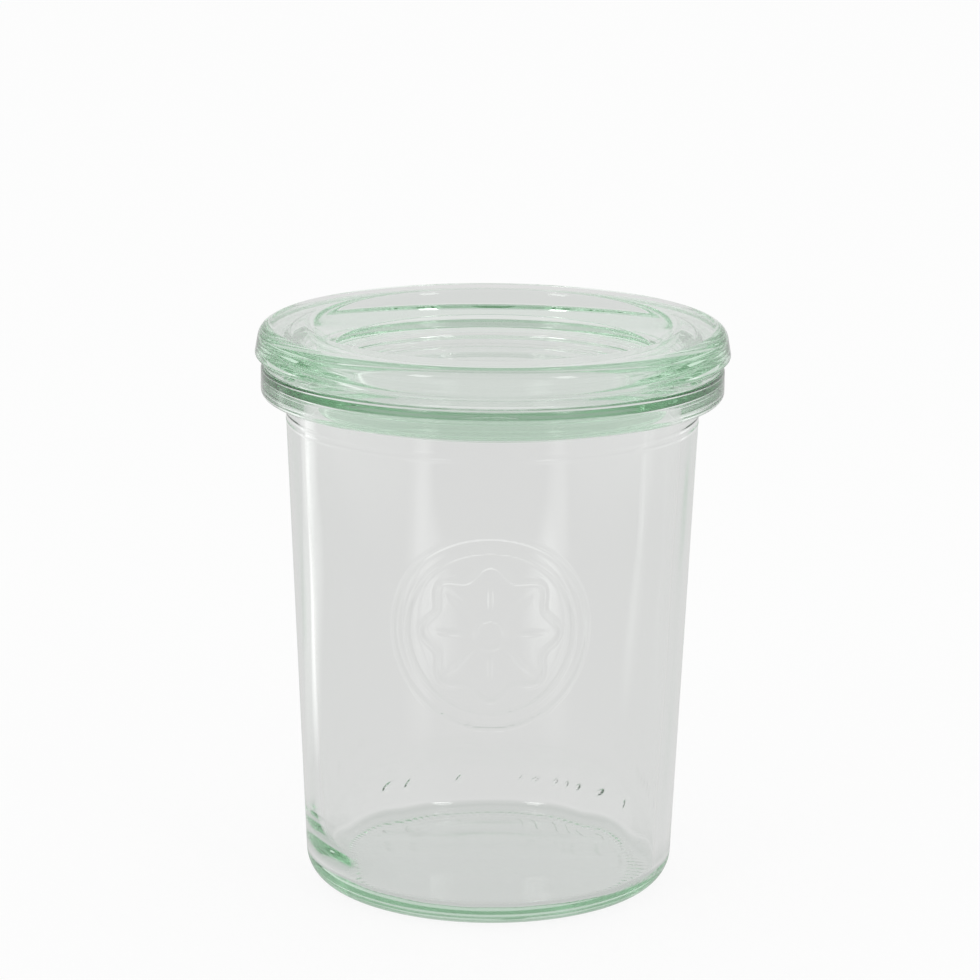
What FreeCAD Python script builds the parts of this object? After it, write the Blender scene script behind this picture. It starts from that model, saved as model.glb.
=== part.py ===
import FreeCAD, Part
import os
import Sketcher

# A small preserving jar of pressed glass with its loose glass lid: a tapered body under a thick collar, and a
# stepped lid that rests on the collar, drops a solid plug into the mouth and is dished to take the base of the
# next jar. Millimetres, +Z up, with the origin at the centre of the base on the surface the jar stands on.
# Every outline is a half section turned about Z, so its corners are given as a radius and a height.

doc = FreeCAD.newDocument("CanningJar")

# The sizes a designer sets. Angles are in degrees and everything else is in millimetres.
driving = [
    ("jar_height", 80.0, "standing surface to sealing rim"),
    ("mouth_radius", 28.4, "straight bore behind the collar"),
    ("mouth_flare", 2.0, "bore wider than that at the rim"),
    ("flare_depth", 2.5, "sealing rim to the foot of the flare"),
    ("wall_thickness", 2.73, "body wall, square to the axis"),
    ("body_draft", 2.57, "angle of the body to the axis"),
    ("collar_depth", 5.0, "sealing rim to the foot of the collar"),
    ("collar_overhang", 3.62, "collar beyond the neck"),
    ("collar_slope", 6.0, "rise of the collar's underside"),
    ("collar_top_round", 0.3, "outer edge of the sealing rim"),
    ("collar_foot_round", 1.0, "edge between collar face and underside"),
    ("neck_round", 0.8, "hollow corner under the collar"),
    ("mouth_round", 0.5, "inner edge of the sealing rim"),
    ("flare_round", 1.5, "turn from the flare into the bore"),
    ("heel_round", 4.55, "outer corner of the base"),
    ("floor_thickness", 3.05, "standing surface to the inside floor"),
    ("floor_round", 1.2, "inside corner of the floor"),
    ("pushup_depth", 0.28, "hollow under the base, at the axis"),
    ("bearing_width", 2.5, "flat ring that the jar stands on"),
    ("lid_thickness", 6.0, "lid rim, sealing face to top"),
    ("lid_overhang", 0.9, "lid beyond the collar, at its widest"),
    ("lid_waist", 1.7, "sealing face to the widest line of the lid"),
    ("lid_foot_inset", 1.7, "sealing face inside the widest line"),
    ("lid_side_inset", 0.75, "top edge inside the widest line"),
    ("lid_top_round", 1.45, "outer edge of the lid's top"),
    ("lid_waist_round", 0.45, "widest line of the lid"),
    ("lid_foot_round", 0.9, "outer edge of the sealing face"),
    ("lid_seat_gap", 0.0, "rest of the lid on the collar"),
    ("recess_depth", 7.6, "dish in the lid's top"),
    ("recess_slope_width", 6.0, "sloping side of the dish, seen from above"),
    ("recess_rim_round", 2.3, "upper edge of the dish"),
    ("recess_foot_round", 2.0, "lower edge of the dish"),
    ("stacking_clearance", -0.36, "dish rim round a stacked base, whose rounded heel settles inside it"),
    ("plug_depth", 6.0, "plug below the sealing face"),
    ("plug_draft", 8.0, "angle of the plug's side to the axis"),
    ("plug_clearance", 0.8, "plug inside the bore, at the sealing face"),
    ("plug_foot_round", 1.1, "lower edge of the plug"),
    ("plug_root_round", 1.4, "corner where the plug joins the sealing face"),
]

# What follows from them, so that the lid fits the mouth, the collar and the base of the next jar.
derived = [
    ("neck_height", "Sizes.jar_height - Sizes.collar_depth"),
    ("neck_radius", "Sizes.mouth_radius + Sizes.wall_thickness"),
    ("body_lean", "tan(Sizes.body_draft * 1 deg)"),
    ("base_radius", "neck_radius - neck_height * body_lean"),
    ("bearing_radius", "base_radius - Sizes.heel_round"),
    ("pushup_radius", "bearing_radius - Sizes.bearing_width"),
    ("floor_radius", "base_radius + Sizes.floor_thickness * body_lean - Sizes.wall_thickness"),
    ("collar_radius", "neck_radius + Sizes.collar_overhang"),
    ("rim_bore_radius", "Sizes.mouth_radius + Sizes.mouth_flare"),
    ("flare_height", "Sizes.jar_height - Sizes.flare_depth"),
    ("collar_foot_height", "neck_height + Sizes.collar_overhang * tan(Sizes.collar_slope * 1 deg)"),
    ("lid_radius", "collar_radius + Sizes.lid_overhang"),
    ("lid_top_height", "Sizes.plug_depth + Sizes.lid_thickness"),
    ("recess_height", "lid_top_height - Sizes.recess_depth"),
    ("recess_rim_radius", "base_radius + Sizes.stacking_clearance"),
    ("recess_radius", "recess_rim_radius - Sizes.recess_slope_width"),
    ("plug_radius", "Sizes.mouth_radius - Sizes.plug_clearance"),
    ("plug_foot_radius", "plug_radius - Sizes.plug_depth * tan(Sizes.plug_draft * 1 deg)"),
    ("lid_place", "Sizes.jar_height + Sizes.lid_seat_gap - Sizes.plug_depth"),
]

sizes = doc.addObject("Spreadsheet::Sheet", "Sizes")
for row, (alias, value, meaning) in enumerate(driving, start=1):
    sizes.set(f"A{row}", str(value))
    sizes.setAlias(f"A{row}", alias)
    sizes.set(f"B{row}", meaning)

fits = doc.addObject("Spreadsheet::Sheet", "Fits")
for row, (alias, formula) in enumerate(derived, start=1):
    fits.set(f"A{row}", f"={formula}")
    fits.setAlias(f"A{row}", alias)
doc.recompute()


def valueOf(formula):
    # The number that a formula on the two sheets gives now.
    return float(sizes.evalExpression(formula))


def addSketch(body, name):
    # A sketch on the body's own XZ plane: across is the radius and up is the height.
    sketch = body.newObject("Sketcher::SketchObject", name)
    plane = next(item for item in body.Origin.OriginFeatures if item.Role == "XZ_Plane")
    sketch.AttachmentSupport = [(plane, "")]
    sketch.MapMode = "FlatFace"
    return sketch


def placeCorner(sketch, edge, end, name, radius, height):
    # Holds one end of an edge at a radius and a height. A plain 0 lays it on the axis or the base line.
    for direction, axis, formula in (("DistanceX", -2, radius), ("DistanceY", -1, height)):
        if formula == "0":
            sketch.addConstraint(Sketcher.Constraint("PointOnObject", edge, end, axis))
        else:
            rule = Sketcher.Constraint(direction, -1, 1, edge, end, valueOf(formula))
            index = sketch.addConstraint(rule)
            label = name + ("_radius" if direction == "DistanceX" else "_height")
            sketch.renameConstraint(index, label)
            sketch.setExpression(f"Constraints.{label}", formula)


def drawOutline(sketch, corners):
    # A closed outline of straight edges, each corner a name, a radius and a height.
    count = len(corners)
    points = [FreeCAD.Vector(valueOf(radius), valueOf(height), 0) for _, radius, height in corners]
    for number in range(count):
        sketch.addGeometry(Part.LineSegment(points[number], points[(number + 1) % count]))
    for number, (name, radius, height) in enumerate(corners):
        sketch.addConstraint(Sketcher.Constraint("Coincident", number, 1, (number - 1) % count, 2))
        placeCorner(sketch, number, 1, name, radius, height)


def turn(body, kind, name, sketch):
    # Adds or cuts the sketch turned right round the Z axis.
    feature = body.newObject(f"PartDesign::{kind}", name)
    feature.Profile = sketch
    feature.ReferenceAxis = (sketch, ["V_Axis"])
    feature.Angle = 360
    sketch.Visibility = False
    doc.recompute()
    return feature


def roundEdges(body, name, size, circles):
    # Rounds the circular edges that lie at the given radii and heights.
    base = body.Tip
    wanted = [(valueOf(radius), valueOf(height)) for radius, height in circles]
    names = []
    for number, edge in enumerate(base.Shape.Edges, start=1):
        if edge.Degenerated or not isinstance(edge.Curve, Part.Circle):
            continue
        here = (edge.Curve.Radius, edge.Curve.Center.z)
        if any(abs(here[0] - r) < 0.01 and abs(here[1] - z) < 0.01 for r, z in wanted):
            names.append(f"Edge{number}")
    if len(names) != len(wanted):
        raise RuntimeError(f"{name}: found {len(names)} of {len(wanted)} edges")
    fillet = body.newObject("PartDesign::Fillet", name)
    fillet.Base = (base, names)
    fillet.setExpression("Radius", size)
    doc.recompute()
    return fillet


def makeJar():
    body = doc.addObject("PartDesign::Body", "jar")

    blank = addSketch(body, "BlankOutline")
    drawOutline(blank, [
        ("axis_foot", "0", "0"),
        ("heel", "Fits.base_radius", "0"),
        ("neck", "Fits.neck_radius", "Fits.neck_height"),
        ("collar_foot", "Fits.collar_radius", "Fits.collar_foot_height"),
        ("collar_top", "Fits.collar_radius", "Sizes.jar_height"),
        ("axis_top", "0", "Sizes.jar_height"),
    ])
    turn(body, "Revolution", "Blank", blank)

    cavity = addSketch(body, "CavityOutline")
    drawOutline(cavity, [
        ("axis_floor", "0", "Sizes.floor_thickness"),
        ("floor", "Fits.floor_radius", "Sizes.floor_thickness"),
        ("shoulder", "Sizes.mouth_radius", "Fits.neck_height"),
        ("flare", "Sizes.mouth_radius", "Fits.flare_height"),
        ("mouth", "Fits.rim_bore_radius", "Sizes.jar_height"),
        ("axis_mouth", "0", "Sizes.jar_height"),
    ])
    turn(body, "Groove", "Cavity", cavity)

    # The push-up is a shallow dome: its arc has its centre on the axis, far below the base.
    dome = addSketch(body, "PushupOutline")
    reach = valueOf("Fits.pushup_radius")
    rise = valueOf("Sizes.pushup_depth")
    domeRadius = (reach ** 2 + rise ** 2) / (2 * rise)
    rim = FreeCAD.Vector(reach, 0, 0)
    crown = FreeCAD.Vector(0, rise, 0)
    middle = FreeCAD.Vector(reach / 2, rise - domeRadius + (domeRadius ** 2 - reach ** 2 / 4) ** 0.5, 0)
    dome.addGeometry(Part.Arc(rim, middle, crown))
    dome.addGeometry(Part.LineSegment(crown, FreeCAD.Vector(0, 0, 0)))
    dome.addGeometry(Part.LineSegment(FreeCAD.Vector(0, 0, 0), rim))
    dome.addConstraint(Sketcher.Constraint("Coincident", 0, 2, 1, 1))
    dome.addConstraint(Sketcher.Constraint("Coincident", 1, 2, 2, 1))
    dome.addConstraint(Sketcher.Constraint("Coincident", 2, 2, 0, 1))
    dome.addConstraint(Sketcher.Constraint("PointOnObject", 0, 3, -2))
    dome.addConstraint(Sketcher.Constraint("Coincident", 1, 2, -1, 1))
    placeCorner(dome, 1, 1, "crown", "0", "Sizes.pushup_depth")
    placeCorner(dome, 2, 2, "rim", "Fits.pushup_radius", "0")
    turn(body, "Groove", "Pushup", dome)

    roundEdges(body, "HeelRound", "Sizes.heel_round", [("Fits.base_radius", "0")])
    roundEdges(body, "FloorRound", "Sizes.floor_round", [("Fits.floor_radius", "Sizes.floor_thickness")])
    roundEdges(body, "NeckRound", "Sizes.neck_round", [("Fits.neck_radius", "Fits.neck_height")])
    roundEdges(body, "CollarFootRound", "Sizes.collar_foot_round",
               [("Fits.collar_radius", "Fits.collar_foot_height")])
    roundEdges(body, "CollarTopRound", "Sizes.collar_top_round", [("Fits.collar_radius", "Sizes.jar_height")])
    roundEdges(body, "MouthRound", "Sizes.mouth_round", [("Fits.rim_bore_radius", "Sizes.jar_height")])
    roundEdges(body, "FlareRound", "Sizes.flare_round", [("Sizes.mouth_radius", "Fits.flare_height")])
    return body


def makeLid():
    # The lid's own frame starts at the foot of the plug.
    body = doc.addObject("PartDesign::Body", "lid")

    blank = addSketch(body, "LidOutline")
    drawOutline(blank, [
        ("axis_foot", "0", "0"),
        ("plug_foot", "Fits.plug_foot_radius", "0"),
        ("plug_root", "Fits.plug_radius", "Sizes.plug_depth"),
        ("seat_edge", "Fits.lid_radius - Sizes.lid_foot_inset", "Sizes.plug_depth"),
        ("waist", "Fits.lid_radius", "Sizes.plug_depth + Sizes.lid_waist"),
        ("top_edge", "Fits.lid_radius - Sizes.lid_side_inset", "Fits.lid_top_height"),
        ("axis_top", "0", "Fits.lid_top_height"),
    ])
    turn(body, "Revolution", "LidBlank", blank)

    dish = addSketch(body, "DishOutline")
    drawOutline(dish, [
        ("axis_dish", "0", "Fits.recess_height"),
        ("dish_foot", "Fits.recess_radius", "Fits.recess_height"),
        ("dish_rim", "Fits.recess_rim_radius", "Fits.lid_top_height"),
        ("axis_rim", "0", "Fits.lid_top_height"),
    ])
    turn(body, "Groove", "Dish", dish)

    roundEdges(body, "LidTopRound", "Sizes.lid_top_round",
               [("Fits.lid_radius - Sizes.lid_side_inset", "Fits.lid_top_height")])
    roundEdges(body, "LidWaistRound", "Sizes.lid_waist_round",
               [("Fits.lid_radius", "Sizes.plug_depth + Sizes.lid_waist")])
    roundEdges(body, "LidFootRound", "Sizes.lid_foot_round",
               [("Fits.lid_radius - Sizes.lid_foot_inset", "Sizes.plug_depth")])
    roundEdges(body, "DishRimRound", "Sizes.recess_rim_round",
               [("Fits.recess_rim_radius", "Fits.lid_top_height")])
    roundEdges(body, "DishFootRound", "Sizes.recess_foot_round", [("Fits.recess_radius", "Fits.recess_height")])
    roundEdges(body, "PlugFootRound", "Sizes.plug_foot_round", [("Fits.plug_foot_radius", "0")])
    roundEdges(body, "PlugRootRound", "Sizes.plug_root_round", [("Fits.plug_radius", "Sizes.plug_depth")])

    body.setExpression(".Placement.Base.z", "Fits.lid_place")
    return body


bodies = [makeJar(), makeLid()]
doc.recompute()

for item in doc.Objects:
    if "Invalid" in item.State or "Error" in item.State:
        raise RuntimeError(f"{item.Name} failed: {item.State}")
for body in bodies:
    if body.Shape.isNull() or not body.Shape.isValid() or len(body.Shape.Solids) != 1:
        raise RuntimeError(f"{body.Label} isn't one sound solid")

os.makedirs("parts", exist_ok=True)
for body in bodies:
    body.Shape.exportStep(f"parts/{body.Label}.step")
    box = body.Shape.optimalBoundingBox()
    print(f"{body.Label}: {body.Shape.Volume / 1000:.2f} cm3, z {box.ZMin:.2f} to {box.ZMax:.2f}, "
          f"across {box.XLength:.2f}")
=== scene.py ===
import math

import bpy
import numpy as np
from mathutils import Matrix, Vector


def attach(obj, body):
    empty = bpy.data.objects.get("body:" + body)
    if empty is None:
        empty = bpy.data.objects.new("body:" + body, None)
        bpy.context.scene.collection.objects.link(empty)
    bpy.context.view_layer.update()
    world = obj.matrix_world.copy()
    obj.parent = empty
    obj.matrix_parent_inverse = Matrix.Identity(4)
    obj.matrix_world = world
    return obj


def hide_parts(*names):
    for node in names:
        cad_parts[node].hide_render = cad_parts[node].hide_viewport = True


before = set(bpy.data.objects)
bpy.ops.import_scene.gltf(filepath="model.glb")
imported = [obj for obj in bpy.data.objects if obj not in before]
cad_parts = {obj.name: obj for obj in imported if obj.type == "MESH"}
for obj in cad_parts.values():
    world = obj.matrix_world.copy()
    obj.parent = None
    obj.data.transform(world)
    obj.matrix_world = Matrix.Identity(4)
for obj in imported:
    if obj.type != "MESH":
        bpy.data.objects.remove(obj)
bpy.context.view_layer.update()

mm = 0.001  # the half sections below are written in millimetres
white = (1, 1, 1, 1)
print("frame loaded")


class Sock:
    # A shader value that adds its own Math nodes when it is used in an expression.
    def __init__(self, nodes, socket):
        self.nodes = nodes
        self.socket = socket

    def join(self, operation, other, swap=False):
        values = [other, self] if swap else [self, other]
        return self.nodes.add("ShaderNodeMath", {"operation": operation}, dict(enumerate(values)))

    def __add__(self, other):
        return self.join("ADD", other)

    def __sub__(self, other):
        return self.join("SUBTRACT", other)

    def __rsub__(self, other):
        return self.join("SUBTRACT", other, swap=True)

    def __mul__(self, other):
        return self.join("MULTIPLY", other)

    __radd__ = __add__
    __rmul__ = __mul__

    def between(self, least, most):
        # The value, cut off below the least and above the most.
        return self.join("MAXIMUM", least).join("MINIMUM", most)


class Nodes:
    # One node tree. add() makes any node: its settings first, then the values or links of its sockets.
    def __init__(self, tree):
        self.tree = tree
        tree.nodes.clear()

    def add(self, kind, settings=None, inputs=None, output=0):
        node = self.tree.nodes.new(kind)
        for key, value in (settings or {}).items():
            setattr(node, key, value)
        for key, value in (inputs or {}).items():
            if isinstance(value, Sock):
                self.tree.links.new(value.socket, node.inputs[key])
            else:
                node.inputs[key].default_value = value
        return Sock(self, node.outputs[output]) if len(node.outputs) else None

    def mix(self, share, first, second):
        # The first shader where the share is 0, the second where it is 1.
        return self.add("ShaderNodeMixShader", None, {0: share, 1: first, 2: second})

    def part(self, vector, axis):
        # The X, Y or Z of a vector.
        return self.add("ShaderNodeSeparateXYZ", None, {0: vector}, axis)

    def ray(self, kind):
        # 1 for rays of this kind, such as "Is Camera Ray", and 0 for the others.
        return self.add("ShaderNodeLightPath", None, None, kind)


def newMaterial(name):
    # An empty material and its nodes.
    material = bpy.data.materials.new(name)
    material.use_nodes = True
    return material, Nodes(material.node_tree)


def turnFrom(angle, middle):
    # The angle from a middle given in degrees, as radians between minus and plus half a circle.
    return (angle - math.radians(middle) + math.pi) % math.tau - math.pi


def evenAngles(count):
    # Angles round the circle at equal steps, from 0.
    return np.linspace(0, math.tau, count, endpoint=False)


def denseAngles(middle, reach, fine, coarse):
    # Angles round the circle, `fine` degrees apart within `reach` of the middle and growing to `coarse`
    # away from it: the spacing is the inverse of a density, whose running total is cut into equal steps.
    blendWidth = 12  # degrees over which the spacing grows
    probes = 7201
    probe = np.linspace(0, math.tau, probes)
    away = np.degrees(np.abs(turnFrom(probe, middle)))
    blend = np.clip((away - reach) / blendWidth, 0, 1)
    density = 1 / np.radians(fine + (coarse - fine) * blend)
    total = np.concatenate([[0], np.cumsum((density[1:] + density[:-1]) / 2 * np.diff(probe))])
    count = int(round(total[-1]))
    return np.interp(np.arange(count) * total[-1] / count, total, probe)


def roundedOutline(corners, step):
    # A half section as an array of (radius, height): straight edges between the corners, each corner
    # replaced by an arc of its own rounding that touches both edges. The arc's middle lies on the
    # bisector of the corner, and its points are about one step apart.
    fewestSteps = 5
    points = np.array([corner[:2] for corner in corners], float)
    path = [points[0]]
    for number in range(1, len(points) - 1):
        here = points[number]
        rounding = corners[number][2]
        if rounding <= 0:
            path.append(here)
            continue
        before = points[number - 1] - here
        after = points[number + 1] - here
        before /= np.linalg.norm(before)
        after /= np.linalg.norm(after)
        half = math.acos(np.clip(before @ after, -1, 1)) / 2
        bisector = (before + after) / np.linalg.norm(before + after)
        centre = here + bisector * rounding / math.sin(half)
        turn = math.pi - 2 * half
        count = max(fewestSteps, int(round(rounding * turn / step)))
        start = here + before * rounding / math.tan(half) - centre
        side = math.copysign(1, before[0] * after[1] - before[1] * after[0])
        angles = -side * turn * np.linspace(0, 1, count + 1)[:, None]
        across = np.array([-start[1], start[0]])
        path.extend(centre + start * np.cos(angles) + across * np.sin(angles))
    path.append(points[-1])
    return np.array(path)


def addRows(outline, longest, guard):
    # Cuts the straight stretches of an outline into rows no longer than `longest`, and sets one row
    # `guard` from each end of a long stretch, so that the shading of a rounding stays on the rounding.
    rows = [outline[:1]]
    for start, end in zip(outline[:-1], outline[1:]):
        length = float(np.linalg.norm(end - start))
        share = np.array([1.0])
        if length > 3 * guard:
            count = max(1, int(math.ceil((length - 2 * guard) / longest)))
            inner = np.linspace(guard, length - guard, count + 1) / length
            share = np.append(inner, 1)
        rows.append(start + (end - start) * share[:, None])
    return np.concatenate(rows)


def quads(start, rows, count):
    # Faces between `rows` closed rings that follow one another, each of `count` points.
    column = np.arange(count)
    following = (column + 1) % count
    ring = start + np.arange(rows - 1)[:, None] * count
    return np.stack([ring + column, ring + following, ring + count + following, ring + count + column],
                    axis=2).reshape(-1, 4)


def fan(tip, ring, count):
    # Triangles from one point to the edges of the closed ring that begins at the point `ring`.
    column = np.arange(count)
    return np.stack([np.full(count, tip), ring + column, ring + (column + 1) % count], axis=1)


def stitch(upper, lower, upperAngles, lowerAngles):
    # Triangles between two closed rings of different spacing. Going round, each edge of one ring takes as
    # its third corner the point of the other ring that the middles of its edges have reached by then.
    upperMiddle = upperAngles + np.diff(np.append(upperAngles, math.tau)) / 2
    lowerMiddle = lowerAngles + np.diff(np.append(lowerAngles, math.tau)) / 2
    i = np.arange(len(upperAngles))
    j = np.arange(len(lowerAngles))
    toLower = lower + np.searchsorted(lowerMiddle, upperMiddle) % len(j)
    toUpper = upper + np.searchsorted(upperMiddle, lowerMiddle) % len(i)
    fromUpper = np.stack([upper + i, upper + (i + 1) % len(i), toLower], axis=1)
    fromLower = np.stack([lower + (j + 1) % len(j), lower + j, toUpper], axis=1)
    return np.concatenate([fromUpper, fromLower])


def turnedMesh(name, sections, lift=None):
    # Half sections turned about Z: x = r cos(angle), y = r sin(angle), z = height. A section is its rows of
    # (radius, height) and its own angles. lift(angle, radius, height) moves each point along the outward
    # normal of the section. The first and the last row lie on the axis and become one point each.
    outline = np.concatenate([rows for rows, angles in sections])
    slope = np.gradient(outline, axis=0)
    normal = np.stack([slope[:, 1], -slope[:, 0]], axis=1)
    normal /= np.linalg.norm(normal, axis=1)[:, None]
    rings = []
    faces = []
    row = 0
    start = 0  # number of the section's first point
    lastRing = None
    for rows, angles in sections:
        here = slice(max(row, 1), min(row + len(rows), len(outline) - 1))
        row += len(rows)
        radius, height = np.repeat(outline[here].T[:, :, None], len(angles), axis=2)
        if lift is not None:
            raised = lift(np.broadcast_to(angles, radius.shape), radius, height)
            radius = radius + raised * normal[here, :1]
            height = height + raised * normal[here, 1:]
        points = np.stack([radius * np.cos(angles), radius * np.sin(angles), height], axis=2)
        rings.append(points.reshape(-1, 3))
        if lastRing is not None:
            faces += stitch(lastRing, start, lastAngles, angles).tolist()
        faces += quads(start, len(radius), len(angles)).tolist()
        lastRing = start + (len(radius) - 1) * len(angles)
        lastAngles = angles
        start += radius.size
    faces += fan(start, 0, len(sections[0][1]))[:, [0, 2, 1]].tolist()
    faces += fan(start + 1, lastRing, len(lastAngles)).tolist()
    points = np.concatenate(rings + [[[0, 0, outline[0, 1]], [0, 0, outline[-1, 1]]]]) * mm
    mesh = bpy.data.meshes.new(name)
    mesh.from_pydata(points, [], faces)
    mesh.shade_smooth()
    piece = bpy.data.objects.new(name, mesh)
    bpy.context.scene.collection.objects.link(piece)
    print(name, "has", sum(len(face) - 2 for face in faces), "triangles")
    return piece


glass = {
    "tint": (0.90, 0.95, 0.9125, 1),
    "density": 80.0,
    "ior": 1.52,
    "roughness": 0.0,
}


def glassMaterial(name):
    # Clear green-tinted soda-lime glass: a smooth refracting surface round an absorbing volume.
    material, nodes = newMaterial(name)
    surface = nodes.add("ShaderNodeBsdfPrincipled", None, {
        "Base Color": white,
        "Roughness": glass["roughness"],
        "IOR": glass["ior"],
        "Transmission Weight": 1.0,
    })
    volume = nodes.add("ShaderNodeVolumeAbsorption", None, {
        "Color": glass["tint"],
        "Density": glass["density"],
    })
    nodes.add("ShaderNodeOutputMaterial", None, {"Surface": surface, "Volume": volume})
    return material


jarSizes = {
    "height": 80.0,
    "mouth": 28.4,  # inner radius at the neck
    "flare": 2.0,  # widening of the mouth towards the rim
    "flareDepth": 2.5,
    "wall": 2.73,
    "draft": 2.57,  # degrees by which the wall leans outwards
    "collarDepth": 4.62,
    "collarOverhang": 3.62,
    "floor": 3.05,  # height of the inside
    "pushup": 0.28,  # rise of the middle of the underside
    "bearing": 2.5,  # width of the ring that the jar stands on
    "heelRound": 4.55,
    "neckRound": 0.8,
    "collarFootRound": 1.0,
    "collarTopRound": 0.6,
    "rimRound": 0.5,
    "flareRound": 1.5,
    "floorRound": 1.2,
    "soleTop": 1.5,  # the underside is lower than this, the inside higher
    "stipple": {
        "radius": 22.9,
        "reach": 0.6,
        "bars": 96,
        "steepness": 0.9,
        "depth": 0.07,
    },
    "ticks": {  # angles in degrees from the middle of the back
        "height": 6.8,
        "groupMiddle": -26.2,
        "groupStart": -44.5,
        "groupEnd": -8.2,
        "step": 5.9,
        "single": (12.0, 31.5, 37.4, -58.8),
        "slant": 2.0,  # degrees round the jar for each millimetre up
        "degree": 0.49,  # millimetres along the wall
        "width": 0.33,
        "length": 0.62,
        "lift": 0.58,
    },
    "partingLine": {
        "height": 71.7,
        "width": 0.22,
        "lift": 0.05,
    },
    "insideCorner": {
        "azimuth": 200,
        "radius": 26.6,
        "height": 4.2,
        "reach": 4.0,
        "spread": 0.55,  # radians round the jar
        "lift": 1.0,
    },
    "waves": {
        "top": 72,  # none above this height
        "edge": 27,  # radius at which the wall's waves are as high as the floor's
        "bareMiddle": 0.5,  # radius of the still middle of the floor
        "wall": ((3, 0.10, 0), (7, -0.21, 0.5)),  # waves round the jar, radians by height and by radius
        "floor": ((0.9, 1.0), (0.8, 0)),  # along x and along y: radians by the millimetre, start
        "lift": 0.022,
    },
    "medallion": {
        "height": 46.0,
        "wallRadius": 29.6,
        "reach": 0.7,  # radians to each side
        "ring": 14.6,
        "secondRing": 2.2,  # inside the first
        "secondShare": 0.8,
        "scallopedRing": 9.4,
        "scallopDepth": 0.9,
        "smallRing": 2.2,
        "leaves": 8,
        "leafMiddle": 5.2,
        "leafLength": 2.2,
        "line": 0.30,
        "lift": 0.30,
    },
    "rows": {  # spacing of the mesh, and where its stretches begin and end
        "baseArc": 0.4,
        "topArc": 0.25,
        "crown": 6,  # number of rows over the push-up
        "sole": 0.3,
        "soleMargin": 0.05,  # least distance of the last of them from the heel's rounding
        "ticks": (5.2, 8.5, 0.3),
        "plain": (9.5, 12.0, 15.0, 18.5, 22.0, 26.0, 29.0),
        "medallion": (30.6, 61.5, 0.3),
        "neck": (63.0, 66.0, 69.0, 70.6),
        "partingLine": (71.0, 72.5, 0.14),
        "underCollar": 73.0,
        "closeBelow": 12.0,  # the inside has close rows below this height, for its waves
        "longest": 5.0,
        "longestBelow": 1.0,
        "guard": 0.12,
    },
    "angles": {
        "base": 480,
        "ticks": (90, 64, 0.42, 1.2),  # middle, reach, fine and coarse spacing in degrees
        "medallion": (270, 30, 0.55, 1.6),
        "plain": 360,
    },
}


def jarRadiusAt(height):
    # The outer radius of the body at a height: the neck's, less the draft below it.
    below = jarSizes["height"] - jarSizes["collarDepth"] - height
    return jarSizes["mouth"] + jarSizes["wall"] - below * math.tan(math.radians(jarSizes["draft"]))


def ridge(distance, width):
    # A smooth raised line: 1 on the line, falling as the bell curve of distance over width.
    return np.exp(-(distance / width) ** 2)


def stippleDepth(angle, radius):
    # Pressed bars round the bearing ring: a steep wave of the angle under a bell curve of the radius.
    sizes = jarSizes["stipple"]
    wave = np.clip(0.5 + sizes["steepness"] * np.cos(angle * sizes["bars"]), 0, 1)
    return sizes["depth"] * wave * ridge(radius - sizes["radius"], sizes["reach"])


def tickLift(angle, height):
    # Short slanting ticks above the heel at the back, one evenly spaced group and some single ones: a bell
    # curve of the distance to the nearest tick times one of the height.
    sizes = jarSizes["ticks"]
    back = np.degrees(turnFrom(angle, 90))
    above = height - sizes["height"]
    slant = sizes["slant"] * above
    inGroup = (back > sizes["groupStart"]) & (back < sizes["groupEnd"])
    step = sizes["step"]
    aside = np.abs(np.abs(back - sizes["groupMiddle"] + slant) % step - step / 2)
    aside = np.where(inGroup, aside, np.inf)
    for single in sizes["single"]:
        aside = np.minimum(aside, np.abs(back - single + slant))
    return sizes["lift"] * ridge(aside * sizes["degree"], sizes["width"]) * ridge(above, sizes["length"])


def partingLineLift(height):
    # The parting line of the neck ring: a bell curve of the height.
    sizes = jarSizes["partingLine"]
    return sizes["lift"] * ridge(height - sizes["height"], sizes["width"])


def insideLift(angle, radius, height):
    # More glass in the inside corner at the left: a bell curve of the distance from it times one of the
    # angle. Slow waves over the inside: sines of angle, height and radius that grow with the square of the
    # radius, and sines of x and y.
    sizes = jarSizes["insideCorner"]
    away = np.hypot(radius - sizes["radius"], height - sizes["height"])
    corner = ridge(away, sizes["reach"]) * ridge(turnFrom(angle, sizes["azimuth"]), sizes["spread"])
    waves = jarSizes["waves"]
    wall = sum(np.sin(count * angle + rise * height + out * radius) for count, rise, out in waves["wall"])
    (alongX, startX), (alongY, startY) = waves["floor"]
    floor = np.sin(radius * np.cos(angle) * alongX + startX)
    floor += np.sin(radius * np.sin(angle) * alongY + startY)
    wave = wall * (radius / waves["edge"]) ** 2 + floor
    lift = sizes["lift"] * corner + waves["lift"] * wave * (height < waves["top"])
    return lift * (radius > waves["bareMiddle"])


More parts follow.
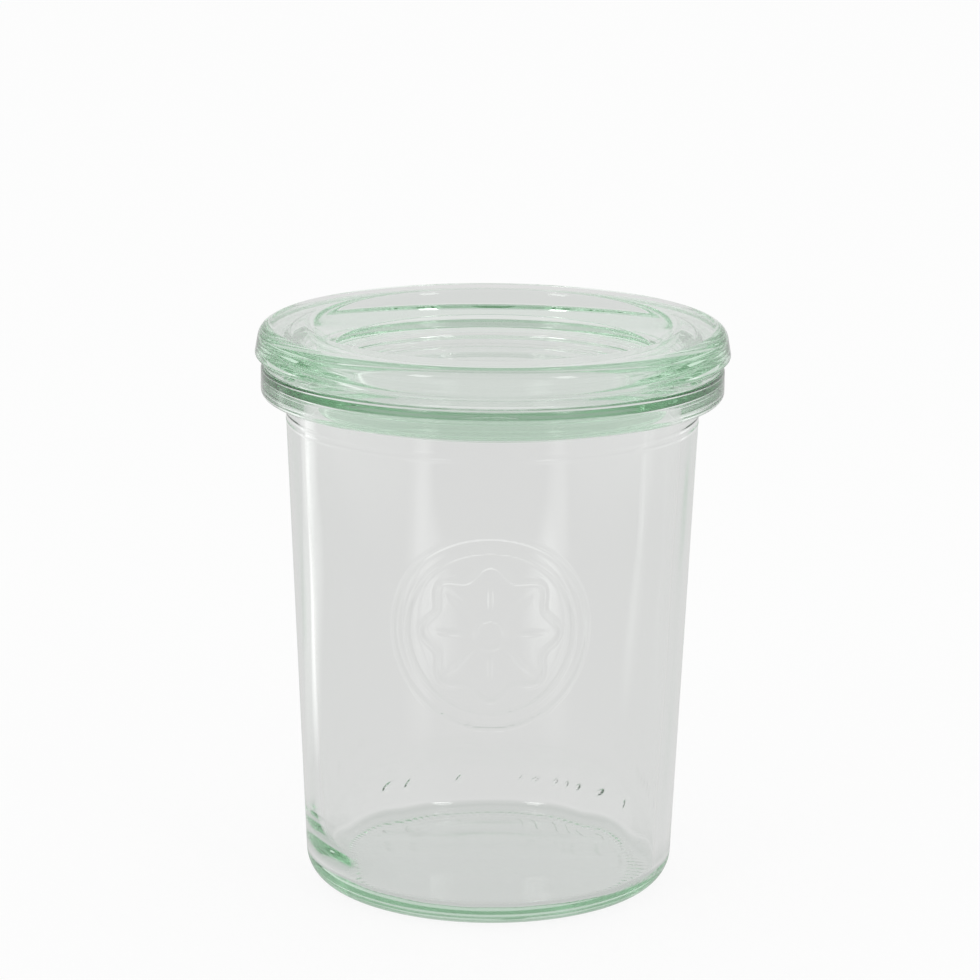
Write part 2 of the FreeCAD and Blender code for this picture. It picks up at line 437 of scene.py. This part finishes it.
def medallionLift(angle, height):
    # A plain round medallion at the front: two rings, a scalloped ring, a small ring and eight leaves. x and
    # z are places on the unrolled wall, out and way the distance and direction from the middle. Each line
    # is a bell curve of the distance to it, and the highest counts. The distance to the scalloped ring is
    # that along the radius over the length of its slope. A leaf is a short line along a ray, where the sine
    # of half as many turns as there are leaves is 0, and it fades to both ends.
    sizes = jarSizes["medallion"]
    turn = turnFrom(angle, -90)
    x = turn * sizes["wallRadius"]
    z = height - sizes["height"]
    out = np.hypot(x, z)
    way = np.arctan2(z, x)
    leaves = sizes["leaves"]
    fromRing = out - sizes["ring"]
    fromScallops = out - sizes["scallopedRing"] - sizes["scallopDepth"] * np.cos(leaves * way)
    slope = leaves * sizes["scallopDepth"] * np.sin(leaves * way) / np.maximum(out, 1)
    fromLeaf = out * np.abs(np.sin(leaves / 2 * way)) / (leaves / 2)
    line = sizes["line"]
    lines = np.maximum.reduce([
        ridge(fromRing, line),
        ridge(fromRing + sizes["secondRing"], line) * sizes["secondShare"],
        ridge(fromScallops / np.hypot(1, slope), line),
        ridge(out - sizes["smallRing"], line),
        ridge(fromLeaf, line) * ridge(out - sizes["leafMiddle"], sizes["leafLength"]),
    ])
    return sizes["lift"] * lines * (np.abs(turn) < sizes["reach"])


def jarLift(angle, radius, height):
    # How far a point of the jar lies outwards of the plain section: the sum of all the relief. A point is
    # on the outside if it lies beyond the middle of the wall.
    outside = radius > jarRadiusAt(height) - jarSizes["wall"] / 2
    under = height < jarSizes["soleTop"]
    lift = (tickLift(angle, height) + partingLineLift(height) + medallionLift(angle, height)) * outside
    lift += insideLift(angle, radius, height) * (~outside & ~under)
    return lift - stippleDepth(angle, radius) * under


def wallRows(heights):
    # Rows of the outer wall: the radius at each height, and the height.
    return np.stack([jarRadiusAt(heights), heights], axis=1)


def jarSections(sizes):
    # From the middle of the push-up out over the base, up the outside, over the rim, down the inside and in
    # over the floor. The push-up is a cap of a sphere. The rows lie close together where the relief is, and
    # each stretch has its own angles. A row where two parts of the path meet is left out of one of them.
    rows = sizes["rows"]
    neckHeight = sizes["height"] - sizes["collarDepth"]
    neck = jarRadiusAt(neckHeight)
    collar = neck + sizes["collarOverhang"]
    base = jarRadiusAt(0)
    bearing = base - sizes["heelRound"]
    pushup = bearing - sizes["bearing"]
    sphere = (pushup ** 2 + sizes["pushup"] ** 2) / (2 * sizes["pushup"])
    reach = np.linspace(0, pushup, rows["crown"])
    crown = np.stack([reach, sizes["pushup"] - sphere + np.sqrt(sphere ** 2 - reach ** 2)], axis=1)
    ticks = wallRows(np.arange(*rows["ticks"]))
    plain = wallRows(np.array(rows["plain"]))
    medallion = wallRows(np.arange(*rows["medallion"]))
    upper = wallRows(np.concatenate([rows["neck"], np.arange(*rows["partingLine"]), [rows["underCollar"]]]))
    sole = [(radius, 0, 0) for radius in np.arange(pushup, bearing - rows["soleMargin"], rows["sole"])]
    baseRows = roundedOutline(sole + [(base, 0, sizes["heelRound"]), (*ticks[0], 0)], rows["baseArc"])[:-1]
    low = rows["closeBelow"]
    topPath = roundedOutline([
        (*upper[-1], 0),
        (neck, neckHeight, sizes["neckRound"]),
        (collar, neckHeight, sizes["collarFootRound"]),
        (collar, sizes["height"], sizes["collarTopRound"]),
        (sizes["mouth"] + sizes["flare"], sizes["height"], sizes["rimRound"]),
        (sizes["mouth"], sizes["height"] - sizes["flareDepth"], sizes["flareRound"]),
        (sizes["mouth"], neckHeight, 0),
        (jarRadiusAt(low) - sizes["wall"], low, 0),
        (jarRadiusAt(sizes["floor"]) - sizes["wall"], sizes["floor"], sizes["floorRound"]),
        (0, sizes["floor"], 0),
    ], rows["topArc"])
    turning = np.flatnonzero(topPath[:, 1] >= low)[-1]
    aboveRows = addRows(topPath[:turning + 1], rows["longest"], rows["guard"])[1:]
    belowRows = addRows(topPath[turning:], rows["longestBelow"], rows["guard"])[1:]
    angles = sizes["angles"]
    return [
        (np.concatenate([crown[:-1], baseRows]), evenAngles(angles["base"])),
        (ticks, denseAngles(*angles["ticks"])),
        (plain, evenAngles(angles["plain"])),
        (medallion, denseAngles(*angles["medallion"])),
        (np.concatenate([upper, aboveRows, belowRows]), evenAngles(angles["plain"])),
    ]


lidSizes = {
    "seat": 80.04,  # just clear of the jar's rim
    "thickness": 6.0,
    "radius": 35.65,
    "waist": 1.7,  # height of the widest place above the seat
    "footInset": 1.7,
    "sideInset": 0.75,
    "recess": 23.0,
    "recessDepth": 7.6,
    "recessSlope": 4.4,  # how much wider the dish is at its top edge
    "step": 23.7,
    "stepDepth": 3.2,
    "plug": 26.6,
    "plugDepth": 6.0,
    "plugDraft": 3.0,
    "plugFootRound": 1.1,
    "plugRootRound": 1.4,
    "footRound": 0.9,
    "waistRound": 0.45,
    "topRound": 2.1,
    "dishEdgeRound": 2.3,
    "stepRound": 0.3,
    "dishRound": 2.0,
    "arcStep": 0.25,
    "longestRow": 4.0,
    "guard": 0.12,
    "angles": 360,
}


def lidOutline(sizes):
    # From the middle of the underside out over the plug, round the rim and over the dished top.
    top = sizes["seat"] + sizes["thickness"]
    dish = top - sizes["recessDepth"]
    foot = sizes["seat"] - sizes["plugDepth"]
    plugFoot = sizes["plug"] - sizes["plugDepth"] * math.tan(math.radians(sizes["plugDraft"]))
    path = roundedOutline([
        (0, foot, 0),
        (plugFoot, foot, sizes["plugFootRound"]),
        (sizes["plug"], sizes["seat"], sizes["plugRootRound"]),
        (sizes["radius"] - sizes["footInset"], sizes["seat"], sizes["footRound"]),
        (sizes["radius"], sizes["seat"] + sizes["waist"], sizes["waistRound"]),
        (sizes["radius"] - sizes["sideInset"], top, sizes["topRound"]),
        (sizes["recess"] + sizes["recessSlope"], top, sizes["dishEdgeRound"]),
        (sizes["step"], top - sizes["stepDepth"], sizes["stepRound"]),
        (sizes["recess"], dish, sizes["dishRound"]),
        (0, dish, 0),
    ], sizes["arcStep"])
    return addRows(path, sizes["longestRow"], sizes["guard"])


jar = turnedMesh("jarGlass", jarSections(jarSizes), jarLift)
lid = turnedMesh("lidGlass", [(lidOutline(lidSizes), evenAngles(lidSizes["angles"]))])
for piece, node in ((jar, "jar"), (lid, "lid")):
    piece.data.materials.append(glassMaterial(piece.name))
    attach(piece, "root")
    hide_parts(node)
print("glass pieces made")


studio = {  # in metres and degrees
    "floorRadius": 1.6,
    "floorSides": 96,
    "floorDrop": 0.0002,  # keeps the floor just clear of the jar's base
    "floorColour": (0.95, 0.95, 0.95, 1),
    "shadowShare": 0.10,
    "behind": (0.722, 0.712, 0.716, 1),
    "underJar": (0.42, 0.45, 0.43, 1),
    # the colour of the light that is painted on the floor for rays through or off glass
    "glow": (2.4, 2.4, 2.4, 1),
    "lightPools": (  # painted pools of light: azimuth from the camera's side, distance, half width, half depth, share of the painted light
        (-37, 0.20, 0.034, 0.11, 0.55),
        (35, 0.20, 0.030, 0.11, 0.38),
        (-124, 0.33, 0.036, 0.12, 0.46),
        (-124, 0.19, 0.032, 0.12, 0.34),
    ),
    "paintedSideLight": (2.6, 0.13, 0.17),  # painted light towards both sides: rise with the square of x, what is taken off, most
    "paintedFarLight": (0.3, 0.18, 0.08),  # painted light far behind: rise with y, what is taken off, most
    "shade": (1.2, 780, 0.5),  # value at the axis, fall with the square of the distance, most
    "horizon": (0.81, 0.80, 0.805, 1),
    "beside": (1.08, 1.08, 1.08, 1),
    "above": (0.76, 0.77, 0.76, 1),
    "besideStart": 0.2,  # square of the direction's x
    "aboveStart": 0.3,  # the direction's z
    "blendRise": 3.0,
    "lamps": {"softboxLeft": -38, "softboxRight": 38},  # azimuth from the camera's side
    "lampDistance": 0.9,
    "lampHeight": 0.68,
    "lampAim": 0.04,
    "lampSize": (0.16, 0.3),
    "lampPower": 0.6,
    "bounces": 80,
    "transmissionBounces": 72,
    "glossyBounces": 64,
}


def paintedLightShare(nodes):
    # Painted light on the floor: the sum of soft elliptical pools of light, each share * (1 - the squares of
    # the distances along and aside in half sizes) and not below 0, a painted rise towards both sides and one
    # far behind.
    place = nodes.add("ShaderNodeTexCoord", None, None, "Object")
    x = nodes.part(place, "X")
    y = nodes.part(place, "Y")
    lightPools = []
    for azimuth, distance, halfWidth, halfDepth, share in studio["lightPools"]:
        outX = math.sin(math.radians(azimuth))
        outY = -math.cos(math.radians(azimuth))
        along = (x * outX + y * outY - distance) * (1 / halfDepth)
        aside = (x * outY - y * outX) * (1 / halfWidth)
        lightPools.append((1 - along * along - aside * aside).between(0, 1) * share)
    rise, less, most = studio["paintedSideLight"]
    sides = (x * x * rise - less).between(0, most)
    rise, less, most = studio["paintedFarLight"]
    far = (y * rise - less).between(0, most)
    return sum(lightPools) + sides + far


def shadeShare(nodes):
    # The floor under the jar is in its shade: falls with the square of the distance from the axis.
    place = nodes.add("ShaderNodeTexCoord", None, None, "Object")
    x = nodes.part(place, "X")
    y = nodes.part(place, "Y")
    middle, fall, most = studio["shade"]
    return (middle - (x * x + y * y) * fall).between(0, most)


def floorMaterial():
    # Camera rays see white with a share of real shading, which keeps the shadow. Rays that come through or
    # off glass see the grey floor with painted shade under the jar and painted pools and rises of light. All
    # other rays meet a plain diffuse surface.
    material, nodes = newMaterial("paleFloor")
    shaded = nodes.add("ShaderNodeBsdfDiffuse", None, {"Color": studio["floorColour"]})
    colours = (white, studio["behind"], studio["underJar"], studio["glow"])
    bare, grey, dark, bright = [
        nodes.add("ShaderNodeEmission", None, {"Color": colour, "Strength": 1.0}) for colour in colours
    ]
    glassRay = nodes.ray("Is Glossy Ray").join("MAXIMUM", nodes.ray("Is Transmission Ray"))
    # painted shade under the jar over the grey, and painted light over both
    lit = nodes.mix(paintedLightShare(nodes), nodes.mix(shadeShare(nodes), grey, dark), bright)
    seen = nodes.mix(glassRay, shaded, lit)
    direct = nodes.mix(studio["shadowShare"], bare, shaded)
    surface = nodes.mix(nodes.ray("Is Camera Ray"), seen, direct)
    nodes.add("ShaderNodeOutputMaterial", None, {"Surface": surface})
    return material


def addFloor():
    # A round pale floor: one flat face whose corners lie evenly round a circle.
    angles = evenAngles(studio["floorSides"])
    rim = np.stack([np.cos(angles), np.sin(angles), np.zeros(len(angles))], axis=1) * studio["floorRadius"]
    rim[:, 2] = -studio["floorDrop"]
    floorMesh = bpy.data.meshes.new("floor")
    floorMesh.from_pydata(rim, [], [list(range(len(rim)))])
    floor = bpy.data.objects.new("floor", floorMesh)
    bpy.context.scene.collection.objects.link(floor)
    floor.data.materials.append(floorMaterial())


def addWorld():
    # White to the camera. To all else pale, brighter at the sides and a little darker overhead.
    world = bpy.data.worlds.new("studio")
    world.use_nodes = True
    bpy.context.scene.world = world
    nodes = Nodes(world.node_tree)
    direction = nodes.add("ShaderNodeTexCoord", None, None, "Generated")
    x = nodes.part(direction, "X")
    z = nodes.part(direction, "Z")
    side = ((x * x - studio["besideStart"]) * studio["blendRise"]).between(0, 1)
    up = ((z - studio["aboveStart"]) * studio["blendRise"]).between(0, 1)
    colours = (white, studio["horizon"], studio["beside"], studio["above"])
    bare, horizon, beside, above = [
        nodes.add("ShaderNodeBackground", None, {"Color": colour, "Strength": 1.0}) for colour in colours
    ]
    around = nodes.mix(up, nodes.mix(side, horizon, beside), above)
    surface = nodes.mix(nodes.ray("Is Camera Ray"), around, bare)
    nodes.add("ShaderNodeOutputWorld", None, {"Surface": surface})


def facing(place, target):
    # The matrix of a camera or lamp that stands at a place and looks at a target, upright.
    turn = (Vector(target) - place).to_track_quat("-Z", "Y").to_matrix().to_4x4()
    return Matrix.Translation(place) @ turn


def addSoftbox(name, azimuth):
    # A rectangular lamp that faces the jar from the given azimuth, 0 being the camera's side.
    angle = math.radians(azimuth)
    out = Vector((math.sin(angle), -math.cos(angle), 0))
    lamp = bpy.data.lights.new(name, "AREA")
    lamp.shape = "RECTANGLE"
    lamp.size, lamp.size_y = studio["lampSize"]
    lamp.energy = studio["lampPower"]
    holder = bpy.data.objects.new(name, lamp)
    bpy.context.scene.collection.objects.link(holder)
    place = out * studio["lampDistance"] + Vector((0, 0, studio["lampHeight"]))
    holder.matrix_world = facing(place, (0, 0, studio["lampAim"]))
    holder.visible_camera = False


view = {  # in metres and degrees, the lens in millimetres
    "distance": 0.6111,
    "elevation": 14.696,
    "middle": 0.045,  # height on the axis that distance and elevation are counted from
    "aimedAt": (-0.00025, 0, 0.0604),
    "roll": 0.526,
    "lens": 147.75,
    "nearest": 0.01,  # what lies nearer to the camera isn't seen
}


def addCamera():
    # Stands in front at the stated distance and elevation from the middle.
    tilt = math.radians(view["elevation"])
    back = view["distance"] * math.cos(tilt)
    up = view["distance"] * math.sin(tilt)
    place = Vector((0, -back, view["middle"] + up))
    data = bpy.data.cameras.new("camera")
    data.lens = view["lens"]
    data.clip_start = view["nearest"]
    camera = bpy.data.objects.new("camera", data)
    bpy.context.scene.collection.objects.link(camera)
    camera.matrix_world = facing(place, view["aimedAt"]) @ Matrix.Rotation(math.radians(view["roll"]), 4, "Z")
    bpy.context.scene.camera = camera


addFloor()
addWorld()
for name, azimuth in studio["lamps"].items():
    addSoftbox(name, azimuth)
addCamera()
scene = bpy.context.scene
scene.view_settings.view_transform = "Standard"
scene.cycles.max_bounces = studio["bounces"]
scene.cycles.transmission_bounces = studio["transmissionBounces"]
scene.cycles.glossy_bounces = studio["glossyBounces"]
print("studio and camera made")
